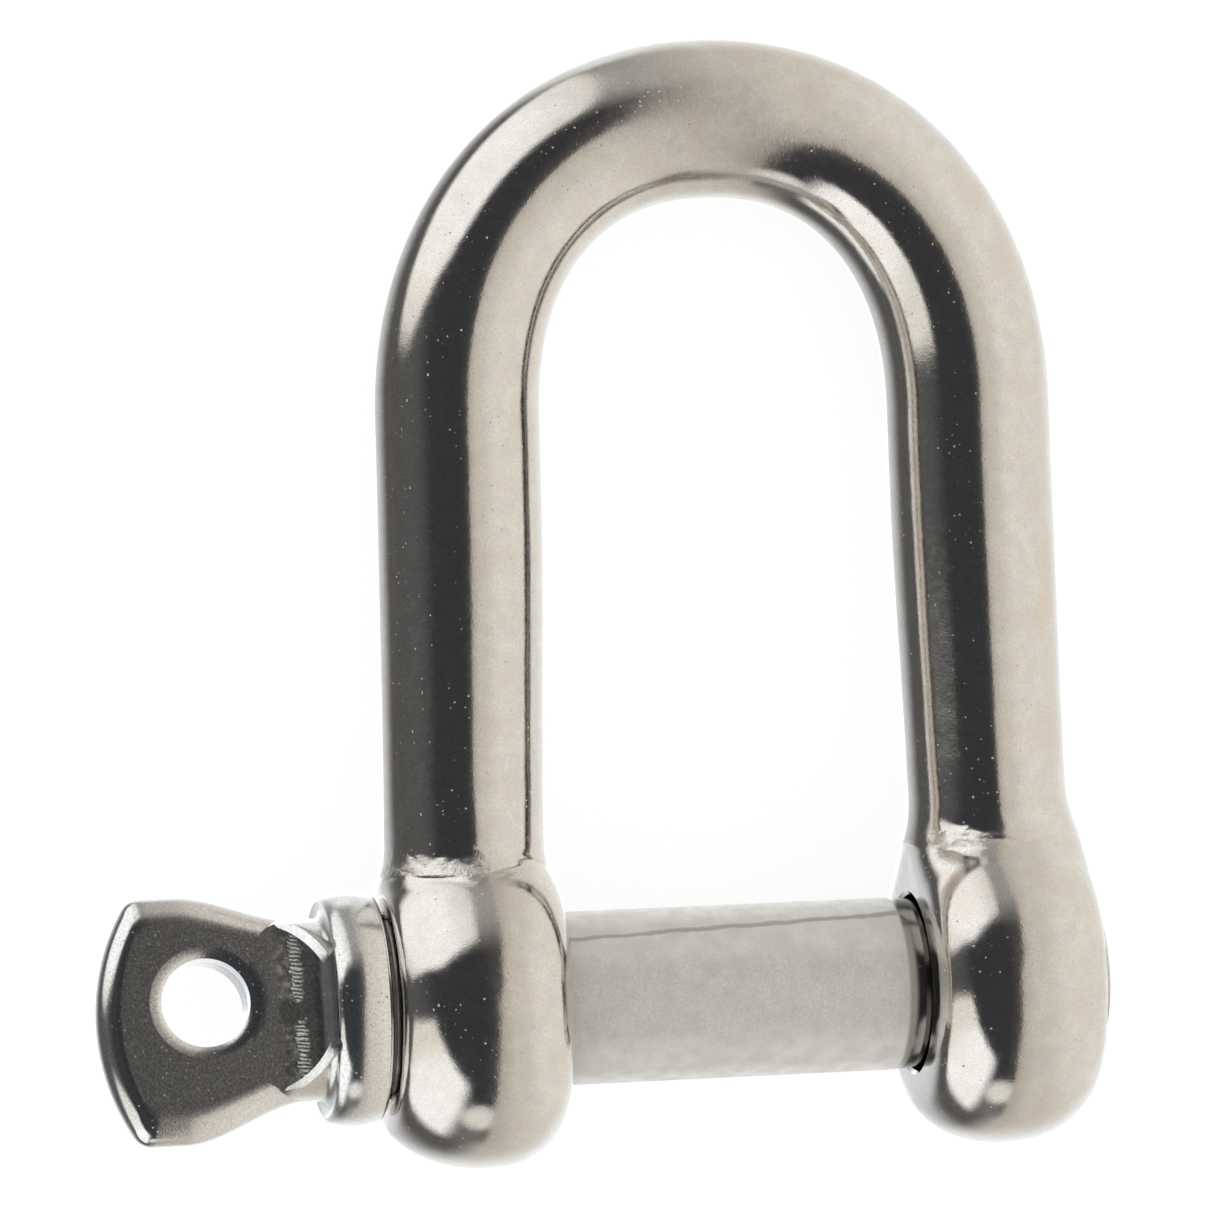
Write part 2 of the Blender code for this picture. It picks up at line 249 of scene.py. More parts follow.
# how far the crest of the eye lies inwards, how widely eye and bar run into each other on three sides, how much
# deeper the bar is near the eye, how high the seam is raised, and how far it is shifted at the front
PLAIN_EYE = {
    "crest": 0.65 * MM, "front": 0.9 * MM, "outside": 0.9 * MM, "inside": 0.8 * MM,
    "deeper": 0.5 * MM, "seam": 0.05 * MM, "seam_low": 0.5 * MM,
}
TAPPED_EYE = {
    "crest": 0.0, "front": 1.3 * MM, "outside": 2.8 * MM, "inside": 2.2 * MM,
    "deeper": 0.2 * MM, "seam": 0.03 * MM, "seam_low": 0.1 * MM,
}


def eye_distance(x, y, z):
    """The eye is a thick disc whose rim is fully round, and fuller than half an ellipse."""
    across = np.abs(x) / (EYE_WIDTH / 2 + EYE_SWELL)
    outward = np.maximum(np.hypot(y, z) - (EYE_RADIUS - EYE_EDGE), 0) / EYE_EDGE
    return ((across ** EYE_FULLNESS + outward ** EYE_FULLNESS) ** (1 / EYE_FULLNESS) - 1) * EYE_EDGE


def blend(a, b, width):
    near = np.maximum(width - np.abs(a - b), 0) / width
    return np.minimum(a, b) - near ** 2 * width / 4


def run_in_width(join):
    """How widely eye and bar run into each other, round the bar: in front, outside and inside the dee."""
    c = np.cos(TURN)
    side = np.where(c > 0, join["outside"], join["inside"])
    return join["front"] + (side - join["front"]) * c ** 2


def forged_distance(x, y, z, centre, radius, join):
    from_eye = x + centre - EYE_CENTRE
    deeper = 1 + join["deeper"] / radius * ease((BLEND_TOP_Y - y) / (6 * MM))
    leg = np.sqrt(x ** 2 + (z / deeper) ** 2 + min(y, 0.0) ** 2) - radius
    crest = join["crest"] * (1 + 0.7 * ease((y / MM - 2) / 5))
    eye = eye_distance(from_eye + crest * (1 - (from_eye / (EYE_WIDTH / 2)) ** 2), y, z)
    forging = blend(eye, leg, run_in_width(join))
    if y > 0:
        wobble = (0.16 * np.sin(5 * TURN + 1) + 0.1 * np.sin(13 * TURN + 2) + 0.04 * np.sin(23 * TURN)) * MM
        seam = np.exp(-(((eye - leg + join["seam_low"] * np.sin(TURN) ** 2 + wobble) / SEAM_WIDTH) ** 2))
        fading = np.maximum(np.sin(TURN), 0) * 0.6 + 0.4
        forging = forging + join["seam"] * seam * fading * ease((y / MM - 5) / 2)
    dressed = np.maximum(np.hypot(y, z) - EYE_FACE_RADIUS, EYE_WIDTH / 2 - np.abs(from_eye))
    return -blend(-forging, dressed, EYE_FACE_BLEND)


def eye_row(y, join):
    """Level outline through eye and leg, found along rays from the middle line of the leg."""
    centre, radius = (leg_offset(y), leg_radius(y)) if y > 0 else (EYE_CENTRE, leg_radius(0))
    c, s = np.cos(TURN), np.sin(TURN)
    inner, outer = np.zeros(BAR_SIDES), np.full(BAR_SIDES, 2 * EYE_RADIUS)
    for _ in range(40):
        middle = (inner + outer) / 2
        inside = forged_distance(middle * c, y, middle * s, centre, radius, join) < 0
        inner, outer = np.where(inside, middle, inner), np.where(inside, outer, middle)
    return np.stack((centre + inner * c, np.full(BAR_SIDES, y), inner * s), axis=1)


def bar_row(centre, along, radius):
    """Round section square to the bar, counted from the outside of the dee."""
    side = Vector((along.y, -along.x, 0)).normalized()
    reach = np.outer(np.cos(TURN), side) + np.outer(np.sin(TURN), (0, 0, 1))
    return np.array(centre) + radius * reach


# %% All rows from the foot of the tapped eye to the spring of the bow, and over the bow
EYE_FOOT = EYE_RADIUS - 0.02 * MM
SEAM_FROM, SEAM_TO = 6.6 * MM, 10.2 * MM
LOWER_ROWS, EYE_ROWS, SEAM_ROWS, NECK_ROWS, LEG_ROWS, BOW_ROWS = 56, 44, 60, 20, 40, 180


def leg_rows(join):
    levels = [-EYE_FOOT * math.cos(math.pi / 2 * i / LOWER_ROWS) for i in range(LOWER_ROWS)]
    levels += [SEAM_FROM * i / EYE_ROWS for i in range(EYE_ROWS)]
    levels += [SEAM_FROM + (SEAM_TO - SEAM_FROM) * i / SEAM_ROWS for i in range(SEAM_ROWS)]
    levels += [SEAM_TO + (BLEND_TOP_Y - SEAM_TO) * i / NECK_ROWS for i in range(NECK_ROWS)]
    rows = [eye_row(y, join) for y in levels]
    for i in range(LEG_ROWS):
        y = BLEND_TOP_Y + (BOW_SPRING_Y - BLEND_TOP_Y) * i / LEG_ROWS
        step = 0.01 * MM
        along = Vector((leg_offset(y + step) - leg_offset(y - step), 2 * step, 0))
        rows.append(bar_row((leg_offset(y), y, 0), along, leg_radius(y)))
    return rows


def bow_rows():
    rows = []
    for i in range(BOW_ROWS + 1):
        turn = math.pi * i / BOW_ROWS
        step = min(0.001, turn / 2 + 1e-4, (math.pi - turn) / 2 + 1e-4)
        if 0 < i < BOW_ROWS:
            along = bow_point(turn + step) - bow_point(turn - step)
        else:
            along = Vector((0, 1 - 2 * i / BOW_ROWS, 0))
        rows.append(bar_row(bow_point(turn), along, bow_radius(turn)))
    return rows


left_leg = [row * (-1, 1, 1) for row in reversed(leg_rows(PLAIN_EYE))]
skin = leg_rows(TAPPED_EYE) + bow_rows() + left_leg
print(len(skin), "rows of", BAR_SIDES, "points")


# %% Wrap a grid round the forging and close both feet
def wrap_grid(name, rows):
    put_down()
    bpy.ops.mesh.primitive_grid_add(x_subdivisions=len(rows[0]), y_subdivisions=len(rows) - 1, size=1)
    piece = named(name)
    closed = np.array([np.vstack((row, row[:1])) for row in rows])
    piece.data.vertices.foreach_set("co", closed.astype(np.float32).ravel())
    bpy.ops.object.mode_set(mode="EDIT")
    bpy.ops.mesh.select_all(action="SELECT")
    bpy.ops.mesh.remove_doubles(threshold=0.001 * MM)
    bpy.ops.mesh.select_all(action="DESELECT")
    bpy.ops.mesh.select_non_manifold()
    bpy.ops.mesh.edge_face_add()
    bpy.ops.mesh.select_all(action="SELECT")
    bpy.ops.mesh.normals_make_consistent(inside=False)
    put_down()
    return piece


body = wrap_grid("forged_dee", skin)
print("forged skin:", len(body.data.polygons), "faces")


# %% [markdown]
# ## Turning on the lathe
# Bores, collar and shank are turned shapes. A circle is added at the first station of the profile, and its disc is
# drawn out and opened or closed at each next station, as a turner would read the drawing from one end to the other.

# %% A lathe, and an arc for its profiles
def arc(centre, radius, start, end, count):
    angles = [start + (end - start) * i / count for i in range(count + 1)]
    return [(centre[0] + radius * math.cos(a), centre[1] + radius * math.sin(a)) for a in angles]


def turned(name, profile, sides):
    put_down()
    x, r = profile[0]
    bpy.ops.mesh.primitive_circle_add(
        vertices=sides, radius=r, fill_type="NGON", location=(x, 0, 0), rotation=(0, math.pi / 2, 0)
    )
    piece = named(name)
    bpy.ops.object.mode_set(mode="EDIT")
    bpy.ops.mesh.select_all(action="SELECT")
    for next_x, next_r in profile[1:]:
        bpy.ops.mesh.extrude_region_move(TRANSFORM_OT_translate={"value": (next_x - x, 0, 0)})
        bpy.ops.transform.resize(value=(1, next_r / r, next_r / r), center_override=(next_x, 0, 0))
        x, r = next_x, next_r
    bpy.ops.mesh.select_all(action="SELECT")
    bpy.ops.mesh.normals_make_consistent(inside=False)
    put_down()
    return piece


# %% A thread is cut by a V that the Screw modifier winds along the axis
PITCH = 1.5 * MM


def wound_v(name, start, turns, base, tip, half_base, half_tip):
    """Closed V profile, from its base radius to its tip radius, wound round the X axis and closed at both ends."""
    put_down()
    bpy.ops.mesh.primitive_circle_add(vertices=4, radius=1 * MM)
    piece = named(name)
    profile = [(-half_base, base), (-half_tip, tip), (half_tip, tip), (half_base, base)]
    for corner, (x, r) in zip(piece.data.vertices, profile):
        corner.co = (start + x, 0, r)
    modifier = piece.modifiers.new("winding", "SCREW")
    modifier.axis = "X"
    modifier.screw_offset = PITCH
    modifier.iterations = turns
    modifier.steps = modifier.render_steps = 72
    bpy.ops.object.modifier_apply(modifier=modifier.name)
    bpy.ops.object.mode_set(mode="EDIT")
    bpy.ops.mesh.select_all(action="DESELECT")
    bpy.ops.mesh.select_non_manifold()
    bpy.ops.mesh.edge_face_add()
    bpy.ops.mesh.select_all(action="SELECT")
    bpy.ops.mesh.normals_make_consistent(inside=False)
    put_down()
    return piece


# %% Bore both eyes with one long reamer, and tap the right one behind a short counterbore
BORE_RADIUS = PIN_RADIUS + 0.3 * MM
BORE_CHAMFER = 0.35 * MM
COUNTERBORE_RADIUS = PIN_RADIUS + 0.15 * MM
TAPPED_RADIUS = 4.95 * MM
TAPPED_ROOT = 5.5 * MM
TAPPED_START = EYE_INNER_FACE + 1.7 * MM
mouth = BORE_RADIUS + 2 * BORE_CHAMFER
reamer_profile = [
    (-EYE_OUTER_FACE - EYE_WIDTH, mouth),
    (-EYE_OUTER_FACE - BORE_CHAMFER, mouth),
    (-EYE_OUTER_FACE + BORE_CHAMFER, BORE_RADIUS),
    (-EYE_INNER_FACE - BORE_CHAMFER, BORE_RADIUS),
    (-EYE_INNER_FACE + BORE_CHAMFER, mouth),
    (EYE_INNER_FACE - 0.2 * MM, COUNTERBORE_RADIUS + 0.4 * MM),
    (EYE_INNER_FACE + 0.2 * MM, COUNTERBORE_RADIUS),
    (TAPPED_START, COUNTERBORE_RADIUS),
    (TAPPED_START + 0.35 * MM, TAPPED_RADIUS),
    (EYE_OUTER_FACE - 0.7 * MM, TAPPED_RADIUS),
    (EYE_OUTER_FACE + BORE_CHAMFER, TAPPED_RADIUS + 0.7 * MM + BORE_CHAMFER),
    (EYE_OUTER_FACE + EYE_WIDTH, TAPPED_RADIUS + 0.7 * MM + BORE_CHAMFER),
]
shape_with(body, turned("reamer", reamer_profile, 128), "DIFFERENCE")
tap = wound_v("tap", TAPPED_START, 7, TAPPED_RADIUS - 0.2 * MM, TAPPED_ROOT, 0.66 * MM, 0.12 * MM)
shape_with(body, tap, "DIFFERENCE")
print("bored and tapped body:", len(body.data.polygons), "faces")

# %% [markdown]
# ## The screw pin
# The pin starts as a turned blank: a thick neck, a crowned collar, the shank, and a slightly thinner end that is cut
# into a thread. The head is a blade with full round edges, stacked from outlines that are drawn in step by step. A
# die flattens the neck to the same thickness, with a round end at the collar and a sloping corner that catches the
# light, the blade is welded on, and the hole is drilled from both sides, so that each rim is softened.

# %% Turn the collar and the shank, and cut the thread
COLLAR_WIDTH = COLLAR_RIGHT - COLLAR_LEFT
COLLAR_RADIUS = 6.75 * MM
COLLAR_RIM = 6.2 * MM
COLLAR_FILLET = 0.55 * MM
COLLAR_GROOVE = 0.15 * MM
COLLAR_EDGE = 0.35 * MM
NECK_PIN_RADIUS = 5.25 * MM
THREAD_RADIUS = 4.85 * MM
THREAD_ROOT = 4.08 * MM
THREAD_START = EYE_INNER_FACE + 1.5 * MM
THREAD_CHAMFER = 0.6 * MM
NECK_END_ROUND = 2.3 * MM
TAPER_POWER = 1.6


def collar_profile():
    fillet = (COLLAR_LEFT + COLLAR_GROOVE - COLLAR_FILLET, NECK_PIN_RADIUS + COLLAR_FILLET)
    points = arc(fillet, COLLAR_FILLET, -math.pi / 2, 0, 8) + [(COLLAR_LEFT, COLLAR_RIM)]
    crown_x = COLLAR_LEFT + COLLAR_WIDTH * 0.5
    for i in range(1, 13):
        a = math.pi / 2 * i / 12
        height = COLLAR_RIM + (COLLAR_RADIUS - COLLAR_RIM) * math.sin(a)
        points.append((crown_x + (COLLAR_LEFT - crown_x) * math.cos(a), height))
    shoulder_x, shoulder = COLLAR_RIGHT - COLLAR_EDGE, COLLAR_RADIUS - COLLAR_EDGE / 2
    for i in range(1, 9):
        t = i / 8
        points.append((crown_x + (shoulder_x - crown_x) * t, COLLAR_RADIUS + (shoulder - COLLAR_RADIUS) * t ** 2))
    return points + arc((shoulder_x, shoulder - COLLAR_EDGE), COLLAR_EDGE, math.pi / 2, 0, 6)[1:]


neck_end = COLLAR_LEFT - 2.0 * MM
pin_profile = []
for a in np.linspace(0, math.pi / 2, 16):
    drop = NECK_END_ROUND * (1 - math.sin(a))
    pin_profile.append((neck_end - NECK_END_ROUND * math.cos(a), NECK_PIN_RADIUS - drop))
pin_profile += collar_profile() + [(COLLAR_RIGHT, PIN_RADIUS)]
taper_start, taper_end = EYE_INNER_FACE - 1.5 * MM, EYE_INNER_FACE + 0.2 * MM
for i in range(13):
    t = i / 12
    taper = (THREAD_RADIUS - PIN_RADIUS) * t ** TAPER_POWER
    pin_profile.append((taper_start + (taper_end - taper_start) * t, PIN_RADIUS + taper))
pin_profile += [
    (PIN_END - THREAD_CHAMFER, THREAD_RADIUS),
    (PIN_END, THREAD_RADIUS - THREAD_CHAMFER),
]
pin = turned("screw_pin_turned", pin_profile, 128)
die = wound_v("thread_die", THREAD_START + PITCH, 7, THREAD_RADIUS + 0.12 * MM, THREAD_ROOT, 0.62 * MM, 0.1 * MM)
shape_with(pin, die, "DIFFERENCE")
print("turned and threaded blank:", len(pin.data.polygons), "faces")

# %% Draw the outline of the blade, drawn in by any amount
HEAD_HEIGHT = 14.3 * MM
HEAD_THICKNESS = 3.85 * MM
HEAD_DRAFT = 0.042
HEAD_TIP_RADIUS = 12.7 * MM
HEAD_CORNER = 1.3 * MM
HEAD_ROUND = 1.9 * MM
HEAD_TIP_ROUND = 1.3 * MM
HEAD_DROP = 0.3 * MM
HEAD_TURN = math.radians(12)
FLAT_STEP = 0.03 * MM
WAIST_START = COLLAR_LEFT - 1.0 * MM
WAIST_LENGTH = 7.3 * MM


def blade_outline(share):
    """Outline seen on the flats, drawn in by a share of the width of the rounding."""
    top, tip_radius = HEAD_HEIGHT / 2 - HEAD_ROUND * share, HEAD_TIP_RADIUS - HEAD_TIP_ROUND * share
    tip_centre, corner_y = HEAD_TIP + HEAD_TIP_RADIUS, top - HEAD_CORNER
    corner_x = tip_centre - math.sqrt((tip_radius - HEAD_CORNER) ** 2 - corner_y ** 2)
    lean = math.pi - math.atan2(corner_y, tip_centre - corner_x)
    upper = arc((tip_centre, 0), tip_radius, math.pi, lean, 24)[1:]
    upper += arc((corner_x, corner_y), HEAD_CORNER, lean, math.pi / 2, 12)[1:]
    root = NECK_PIN_RADIUS - FLAT_STEP - HEAD_ROUND * share * 0.8
    for i in range(41):
        t = i / 40
        upper.append((WAIST_START - WAIST_LENGTH + WAIST_LENGTH * t, root + (top - root) * ease(1 - t)))
    upper.append((COLLAR_LEFT + COLLAR_WIDTH / 2, root))
    return upper + [(x, -y) for x, y in reversed(upper)] + [(HEAD_TIP + HEAD_TIP_ROUND * share, 0)]


# %% Stack the outlines into a blade with a full round edge, drawn a little thinner towards its tip
def drafted(x, z):
    return z * (1 + HEAD_DRAFT * (x - COLLAR_LEFT) / (HEAD_THICKNESS / 2))


def blade_layer(share, z):
    """The blade hangs a little below the axis, but its waist runs into the neck."""
    layer = []
    for x, y in blade_outline(share):
        layer.append((x, y - HEAD_DROP * ease((WAIST_START - x) / WAIST_LENGTH), drafted(x, z)))
    return layer


ROUND_STEPS = 14
layers = [blade_layer(1.02, HEAD_THICKNESS / 2)]
for i in range(ROUND_STEPS, 0, -1):
    a = math.pi / 2 * i / ROUND_STEPS
    layers.append(blade_layer(1 - math.cos(a), HEAD_THICKNESS / 2 * math.sin(a)))
layers += [blade_layer(0, 0)] + [[(x, y, -z) for x, y, z in layer] for layer in reversed(layers)]
blade = wrap_grid("blade", [np.array(layer) for layer in layers])
print("blade is", [round(d / MM, 2) for d in blade.dimensions], "mm")

# %% Flatten the neck, weld on the blade and drill the hole
FLAT_END_RADIUS = 4.93 * MM
FLAT_END_SWEEP = math.radians(68)
FLAT_END_CENTRE = COLLAR_LEFT - 4.35 * MM
FLAT_END_LIMIT = COLLAR_LEFT + 0.15 * MM
FLAT_CORNER = 0.45 * MM


def flat_outline(wider=0.0):
    """Outline of the die that flattens the neck, with a round end that stops just behind the collar's face."""
    plan = arc((FLAT_END_CENTRE, 0), FLAT_END_RADIUS + wider, -FLAT_END_SWEEP, FLAT_END_SWEEP, 96)
    flare_x = plan[-1][0] - (HEAD_HEIGHT - plan[-1][1])
    plan = [(min(x, FLAT_END_LIMIT), y) for x, y in plan]
    return plan + [(flare_x, HEAD_HEIGHT), (flare_x, -HEAD_HEIGHT)]


near, far = HEAD_THICKNESS / 2 + FLAT_STEP, NECK_PIN_RADIUS + COLLAR_FILLET
for side in (1, -1):
    face = [(x, y, side * drafted(x, near)) for x, y in flat_outline()]
    shoulder = [(x, y, side * (drafted(x, near) + FLAT_CORNER)) for x, y in flat_outline(FLAT_CORNER)]
    top = [(x, y, side * far) for x, y in flat_outline(FLAT_CORNER + 0.1 * MM)]
    die = wrap_grid("die", [np.array(outline) for outline in (face, shoulder, top)])
    shape_with(pin, die, "DIFFERENCE")
shape_with(pin, blade, "UNION")
HOLE_RADIUS = 2.55 * MM
HOLE_RIM_WIDTH = 1.2 * MM
HOLE_RIM_DEPTH = 0.17 * MM
hole_x = HEAD_TIP + 6.25 * MM
hole_face = drafted(hole_x, HEAD_THICKNESS / 2) + 0.01 * MM
hole_profile = [(-0.2 * MM, HOLE_RADIUS)]
for t in np.linspace(0, 1, 16):
    hole_profile.append((hole_face - HOLE_RIM_DEPTH * (1 - t) ** 3, HOLE_RADIUS + HOLE_RIM_WIDTH * t))
hole_profile += [(HEAD_THICKNESS, HOLE_RADIUS + HOLE_RIM_WIDTH)]
for side in (1, -1):
    drill = turned("drill", hole_profile, 72)
    square_on = Matrix.Rotation(-side * (math.pi / 2 + math.atan(HEAD_DRAFT)), 4, "Y")
    drill.matrix_world = Matrix.Translation((hole_x, 0.5 * MM, 0)) @ square_on
    shape_with(pin, drill, "DIFFERENCE")
pick_up(pin)
pin.matrix_world = Matrix.Rotation(-HEAD_TURN, 4, "X")
bpy.ops.object.transform_apply(location=True, rotation=True, scale=True)
print("pin:", len(pin.data.polygons), "faces")

# %% Shade both pieces smoothly and lay them down
smooth(body, 30)
smooth(pin, 30)
lay_down(body)
lay_down(pin)


# %% [markdown]
# ## Node helpers and shared effects
# A polished forging isn't perfect: its mirror waves a little like the peel of an orange, small pits and dust catch
# the light, and the tones change over it. These effects are built once as node groups with named inputs, and every
# material takes them with its own values.

# %% Small helpers for node trees
def add(tree, kind, **settings):
    node = tree.nodes.new("ShaderNode" + kind)
    for name, value in settings.items():
        setattr(node, name, value)
    return node


def feed(tree, socket, value):
    """A socket is linked to another, or set to a plain value."""
    if isinstance(value, bpy.types.NodeSocket):
        tree.links.new(value, socket)
    else:
        socket.default_value = value


def maths(tree, operation, a, b=0.0, clamp=False):
    node = add(tree, "Math", operation=operation, use_clamp=clamp)
    feed(tree, node.inputs[0], a)
    feed(tree, node.inputs[1], b)
    return node.outputs[0]


def ramp(tree, value, low, high, out_low=0.0, out_high=1.0):
    """Smooth step of a value between low and high."""
    node = add(tree, "MapRange", interpolation_type="SMOOTHSTEP")
    for socket, number in zip(node.inputs, (value, low, high, out_low, out_high)):
        feed(tree, socket, number)
    return node.outputs["Result"]


def split_place(tree, at):
    apart = add(tree, "SeparateXYZ")
    feed(tree, apart.inputs[0], at)
    return apart.outputs


def both(tree, *masks):
    mask = masks[0]
    for other in masks[1:]:
        mask = maths(tree, "MULTIPLY", mask, other)
    return mask


def near_line(tree, value, line, width):
    """Mask that is 1 near a line and falls to 0 at its width on either side."""
    away = maths(tree, "ABSOLUTE", maths(tree, "SUBTRACT", value, line))
    return ramp(tree, away, width, width * 0.3)


def mix(tree, factor, a, b):
    node = add(tree, "Mix", data_type="RGBA")
    feed(tree, node.inputs["Factor"], factor)
    feed(tree, node.inputs[6], a)
    feed(tree, node.inputs[7], b)
    return node.outputs[2]


def new_group(name, inputs, outputs):
    tree = bpy.data.node_groups.new(name, "ShaderNodeTree")
    for label, kind, value in inputs:
        socket = tree.interface.new_socket(label, in_out="INPUT", socket_type="NodeSocket" + kind)
        if value is not None:
            socket.default_value = value
    for label, kind in outputs:
        tree.interface.new_socket(label, in_out="OUTPUT", socket_type="NodeSocket" + kind)
    given, result = tree.nodes.new("NodeGroupInput"), tree.nodes.new("NodeGroupOutput")
    return tree, given.outputs, result.inputs


def use(tree, group, **values):
    node = tree.nodes.new("ShaderNodeGroup")
    node.node_tree = group
    for name, value in values.items():
        feed(tree, node.inputs[name.replace("_", " ")], value)
    return node.outputs


def srgb(r, g, b):
    """A colour as it is read from a screen, made linear."""
    def linear(v):
        v = v / 255
        return v / 12.92 if v <= 0.04045 else ((v + 0.055) / 1.055) ** 2.4
    return (linear(r), linear(g), linear(b), 1.0)


# %% Shared effect: the wave of a hand-held polish
peel, given, result = new_group(
    "polish wave",
    [("Place", "Vector", None), ("Size", "Float", 1.0), ("Detail", "Float", 2.0)],
    [("Height", "Float")],
)
wave = add(peel, "TexNoise", noise_dimensions="3D")
feed(peel, wave.inputs["Vector"], given["Place"])
feed(peel, wave.inputs["Scale"], given["Size"])
feed(peel, wave.inputs["Detail"], given["Detail"])
feed(peel, result["Height"], wave.outputs["Fac"])

# %% Shared effect: scattered pits and dust, ragged and each a little different in size
specks, given, result = new_group(
    "scattered specks",
    [("Place", "Vector", None), ("Size", "Float", 1.0), ("Share", "Float", 0.1)],
    [("Mask", "Float")],
)
cells = add(specks, "TexVoronoi", feature="F1")
feed(specks, cells.inputs["Vector"], given["Place"])
feed(specks, cells.inputs["Scale"], given["Size"])
chance = add(specks, "SeparateColor")
feed(specks, chance.inputs[0], cells.outputs["Color"])
chosen = maths(specks, "LESS_THAN", chance.outputs[0], given["Share"])
ragged = add(specks, "TexNoise", noise_dimensions="3D")
feed(specks, ragged.inputs["Vector"], given["Place"])
feed(specks, ragged.inputs["Scale"], maths(specks, "MULTIPLY", given["Size"], 3.0))
away = maths(specks, "ADD", cells.outputs["Distance"], maths(specks, "MULTIPLY", ragged.outputs["Fac"], 0.35))
reach = maths(specks, "ADD", maths(specks, "MULTIPLY", chance.outputs[1], 0.22), 0.2)
near_middle = maths(specks, "SUBTRACT", 1.0, maths(specks, "DIVIDE", away, reach), clamp=True)
feed(specks, result["Mask"], maths(specks, "MULTIPLY", chosen, near_middle))


# %% [markdown]
# ## Finishes
# Both pieces are stainless steel. The forging has a mirror polish that isn't quite clean, the shank of the pin is
# finely ground and has a satin sheen, which a lower metallic share gives, and the head sits between the two.

# %% Polished steel of the forging
def dee_coordinates(tree):
    """Object coordinates brought back to the frame of the dee, in millimetres."""
    place = add(tree, "TexCoord")
    mapping = add(tree, "Mapping", vector_type="TEXTURE")
    feed(tree, mapping.inputs["Vector"], place.outputs["Object"])
    mapping.inputs["Location"].default_value = DEE_AT
    mapping.inputs["Rotation"].default_value = (-REST_TILT, 0, 0)
    mapping.inputs["Scale"].default_value = (MM, MM, MM)
    return mapping.outputs["Vector"]


def new_metal(name, colour, roughness):
    material = bpy.data.materials.new(name)
    material.use_nodes = True
    tree = material.node_tree
    shader = tree.nodes["Principled BSDF"]
    shader.inputs["Base Color"].default_value = (*colour, 1)
    shader.inputs["Metallic"].default_value = 1.0
    shader.inputs["Roughness"].default_value = roughness
    return material, tree, shader


def raise_surface(tree, height, depth, below=None, inward=False):
    """Bump of a given real depth in millimetres, laid over another one."""
    bump = add(tree, "Bump", invert=inward)
    bump.inputs["Distance"].default_value = depth * MM
    feed(tree, bump.inputs["Height"], height)
    if below:
        feed(tree, bump.inputs["Normal"], below)
    return bump.outputs["Normal"]


def noise(tree, at, size, detail=2.0):
    return use(tree, peel, Place=at, Size=size, Detail=detail)["Height"]


polished, tree, shader = new_metal("polished_steel_forging", (0.66, 0.63, 0.59), 0.1)
at = dee_coordinates(tree)
across, along, out = split_place(tree, at)

# where the surface isn't a clean mirror: brushed over the crown, crumpled in two patches above the seams
crown = both(tree, ramp(tree, along, 45.5, 49.0), near_line(tree, across, -1.3, 6.5))
uneven = maths(tree, "ADD", along, maths(tree, "MULTIPLY", noise(tree, at, 1.6, 3.0), 2.2))
seam_at = ramp(tree, across, -1.0, 1.0, 7.6, 7.95)
left_patch, right_patch = near_line(tree, across, -17.5, 4.5), near_line(tree, across, 12.9, 2.2)
patch = ramp(tree, maths(tree, "ADD", left_patch, right_patch), 0.0, 1.0, 0.12, 1.0)
above_seam = ramp(tree, maths(tree, "SUBTRACT", along, seam_at), -0.15, 0.1)
crumpled = both(tree, above_seam, ramp(tree, uneven, 10.3, 8.9), patch)

# tone: broad clouds, fine grain and a few warm stains
clouds = ramp(tree, noise(tree, at, 0.9, 4.0), 0.3, 0.7)
grain = ramp(tree, noise(tree, at, 7.5, 3.0), 0.35, 0.65)
tone = mix(tree, clouds, (0.67, 0.645, 0.61, 1), (0.75, 0.722, 0.685, 1))
stains = maths(tree, "MULTIPLY", ramp(tree, noise(tree, at, 0.45, 2.0), 0.52, 0.72), 0.6)
tone = mix(tree, stains, tone, (0.68, 0.6, 0.53, 1))
tone = mix(tree, maths(tree, "MULTIPLY", grain, 0.4), tone, (0.54, 0.515, 0.485, 1))
dust = use(tree, specks, Place=at, Size=5.5, Share=0.08)["Mask"]
feed(tree, shader.inputs["Base Color"], mix(tree, dust, tone, (0.48, 0.47, 0.45, 1)))
feed(tree, shader.inputs["Metallic"], ramp(tree, dust, 0.0, 0.5, 1.0, 0.4))
fine = ramp(tree, noise(tree, at, 2.4, 3.0), 0.3, 0.7, 0.08, 0.13)
rough = maths(tree, "ADD", maths(tree, "MULTIPLY", crown, 0.17), maths(tree, "MULTIPLY", crumpled, 0.14))
feed(tree, shader.inputs["Roughness"], maths(tree, "ADD", fine, rough))

waved = raise_surface(tree, noise(tree, at, 0.35, 1.0), 0.02)
waved = raise_surface(tree, noise(tree, at, 1.7, 1.0), 0.0025, waved)
grained = raise_surface(tree, noise(tree, at, 9.0, 2.0), 0.003, waved)
folds = raise_surface(tree, maths(tree, "MULTIPLY", noise(tree, at, 3.2, 4.0), crumpled), 0.08, grained)
cluster = ramp(tree, noise(tree, at, 0.3, 1.0), 0.52, 0.72, 0.12, 0.7)
pits = use(tree, specks, Place=at, Size=3.6, Share=cluster)["Mask"]
feed(tree, shader.inputs["Normal"], raise_surface(tree, pits, 0.05, folds, inward=True))
body.data.materials.clear()
body.data.materials.append(polished)

